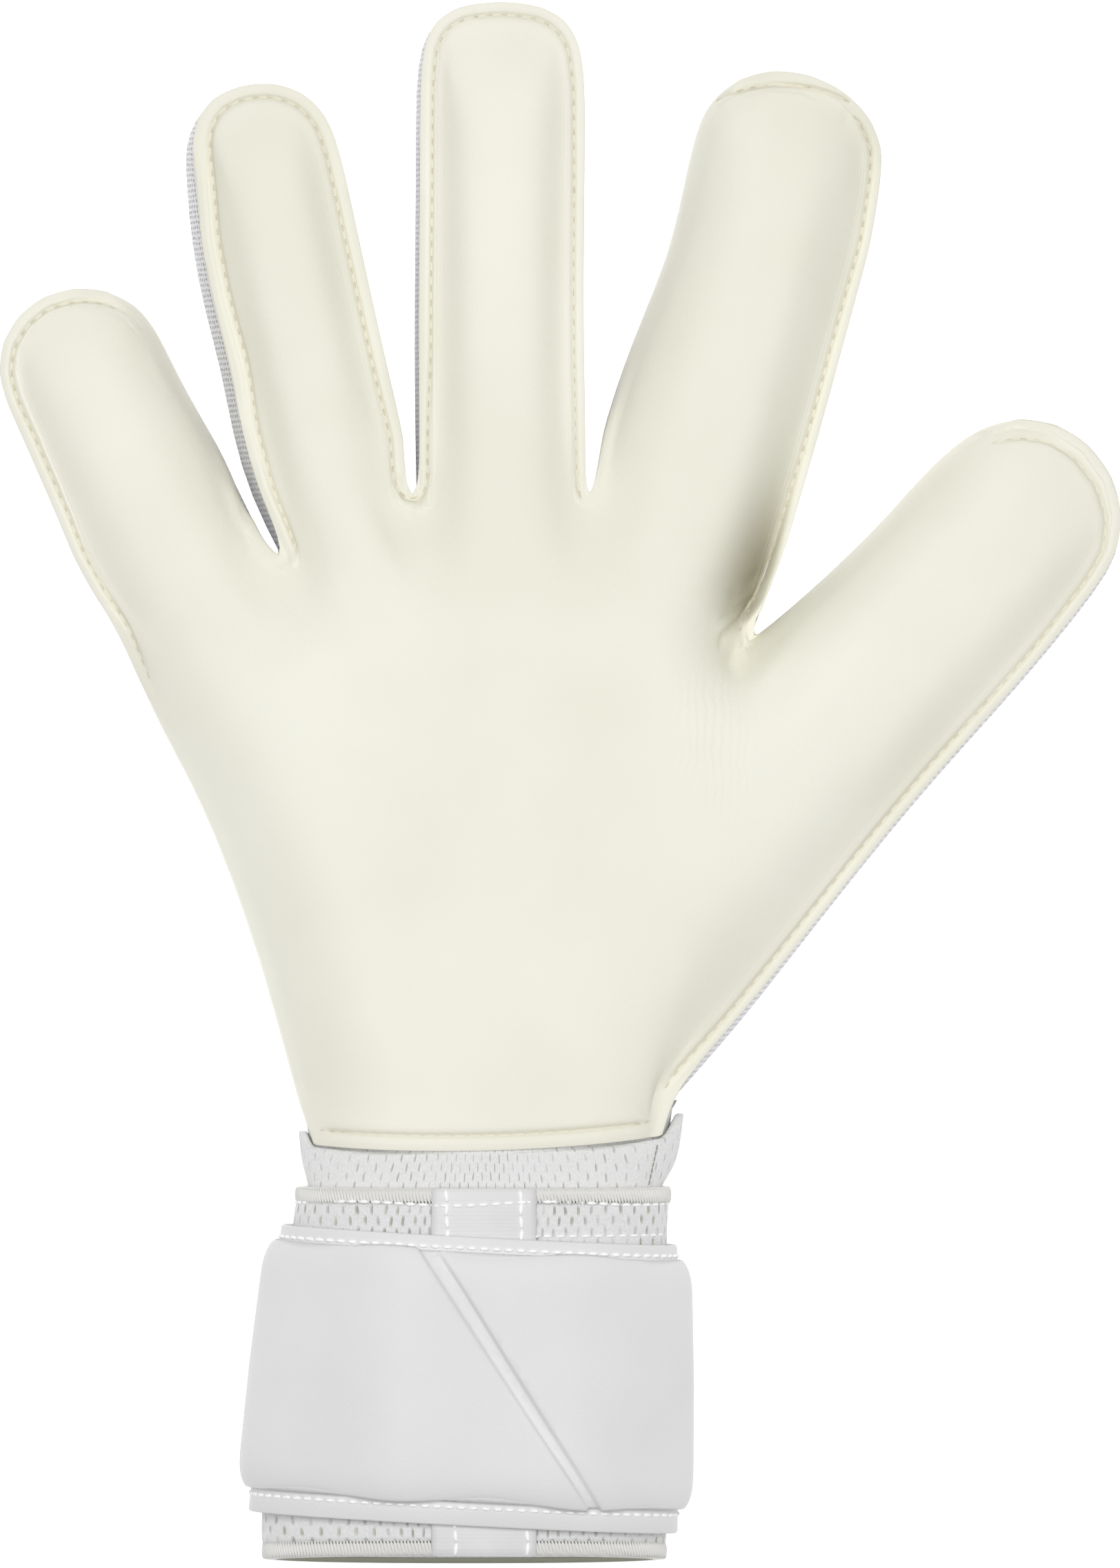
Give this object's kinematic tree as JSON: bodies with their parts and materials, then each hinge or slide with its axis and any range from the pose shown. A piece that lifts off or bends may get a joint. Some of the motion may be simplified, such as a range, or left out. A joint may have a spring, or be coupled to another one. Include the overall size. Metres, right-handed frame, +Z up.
{
  "type": "goalkeeper glove",
  "caption": "Right-hand goalkeeper glove lying palm up, with a thick foam palm, mesh side walls, elastic bandage cuff and a wide padded wrist strap.",
  "frame": {"origin": "on the surface that the glove lies on, under the middle of the back of the hand", "axes": "+Y from the wrist to the fingertips, +Z up out of the palm, +X towards the thumb"},
  "size_m": [0.2044, 0.2836, 0.045],
  "materials": {
    "latex": "smooth cream latex foam, matt",
    "back_foam": "plain off-white foam-backed fabric",
    "side_mesh": "fine white mesh",
    "knit": "fine white knit with small slits",
    "bandage_mesh": "elastic spacer mesh with staggered slits",
    "overlock": "overlocked thread edge",
    "tape": "smooth woven tape",
    "strap_fabric": "plain white strap fabric",
    "pad_skin": "smooth white coated fabric over thin foam"
  },
  "bodies": {
    "root": {"palm_foam": "latex", "back_foam": "back_foam", "wall_little_outer": "side_mesh", "wall_little_ring": "side_mesh", "wall_ring_middle": "side_mesh", "wall_middle_index": "side_mesh", "wall_index_thumb": "side_mesh", "wall_thumb_outer": "side_mesh", "wrist_sleeve": "knit", "bandage": "bandage_mesh", "bandage_top_binding": "overlock", "bandage_mouth_binding": "overlock", "bandage_tape": "tape", "strap": "strap_fabric", "strap_pad": "pad_skin"}
  },
  "joints": []
}
